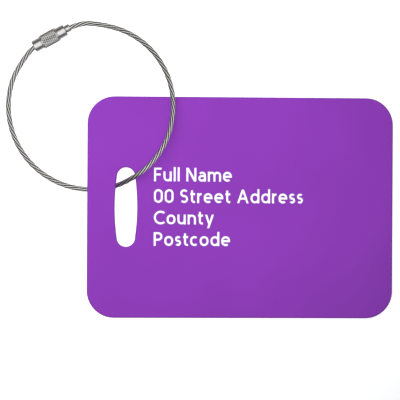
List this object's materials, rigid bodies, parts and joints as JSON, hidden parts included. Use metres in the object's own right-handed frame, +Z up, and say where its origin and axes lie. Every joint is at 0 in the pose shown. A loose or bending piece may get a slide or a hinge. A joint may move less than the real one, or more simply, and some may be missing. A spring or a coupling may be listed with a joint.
{
  "type": "luggage tag",
  "caption": "Rounded aluminium luggage tag with a strap slot and filled lettering, on a steel wire rope ring closed by a knurled screw barrel.",
  "frame": {"origin": "middle of the box of the plate and its lettering, on the table that the tag lies on", "axes": "+X along the plate's length away from the slot, +Y up the lettering, +Z up from the table, as the tag lies face up"},
  "size_m": [0.1145, 0.0873, 0.0063],
  "materials": {
    "anodised_plate": "satin purple anodising",
    "white_enamel": "matt white filling",
    "steel_rope": "bright drawn wire",
    "steel_barrel": "bright turned, knurled middle",
    "steel_ferrule": "crimped",
    "steel_stud": "turned"
  },
  "bodies": {
    "tag": {"tag_plate": "anodised_plate", "lettering_name": "white_enamel", "lettering_street": "white_enamel", "lettering_county": "white_enamel", "lettering_postcode": "white_enamel"},
    "loop": {"wire_rope": "steel_rope", "stop_ferrule": "steel_ferrule"},
    "barrel": {"barrel_sleeve": "steel_barrel"},
    "stud": {"threaded_stud": "steel_stud"}
  },
  "joints": [
    {"name": "loop_lift", "type": "hinge", "parent": "tag", "child": "loop", "pos_m": [-0.03271, 0.00796, 0.004], "axis": [0.7899, 0.3852, 0.4772], "range_deg": [0, 80]},
    {"name": "barrel_spin", "type": "hinge", "parent": "loop", "child": "barrel", "pos_m": [-0.05642, 0.0496, 0.00212], "axis": [0.8746, 0.4848, 0], "range_deg": [0, 2160]},
    {"name": "stud_travel", "type": "slide", "parent": "loop", "child": "stud", "axis": [0.8746, 0.4848, 0], "range_m": [0, 0.0027], "deforming": ["wire_rope"]}
  ],
  "couplings": [
    {"joint": "barrel_spin", "follows": "stud_travel", "rad_per_m": 13963}
  ]
}
